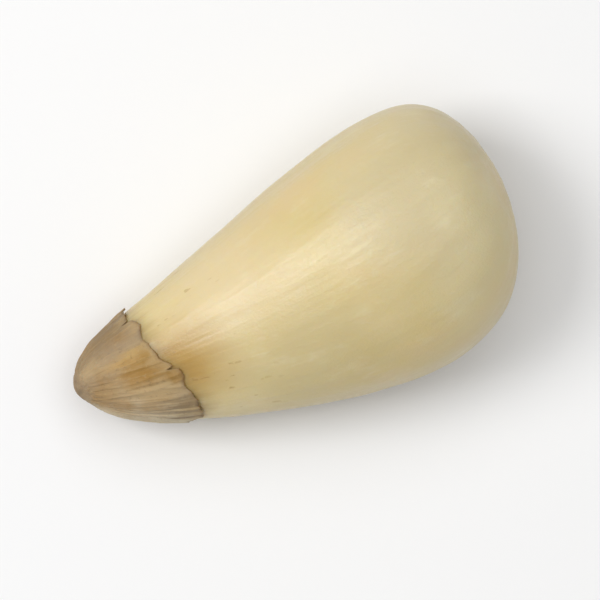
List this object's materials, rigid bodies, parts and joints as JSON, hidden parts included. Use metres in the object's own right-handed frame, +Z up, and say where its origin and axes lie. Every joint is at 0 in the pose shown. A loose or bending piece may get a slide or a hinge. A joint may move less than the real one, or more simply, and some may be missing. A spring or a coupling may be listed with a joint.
{
  "type": "shelled pine nut",
  "caption": "Shelled pine nut lying on its side: a pale, oily, drop-shaped kernel with a hood of brown papery skin on its narrow tip.",
  "frame": {"origin": "on the surface that the nut lies on, under the middle of its bounding box", "axes": "+X along the nut from the brown tip to the blunt end, +Y across its width, +Z up"},
  "size_m": [0.0128, 0.007, 0.006],
  "materials": {
    "kernel_flesh": "satin",
    "papery_skin": "matte"
  },
  "bodies": {
    "root": {"kernel": "kernel_flesh", "skin_hood": "papery_skin"}
  },
  "joints": []
}
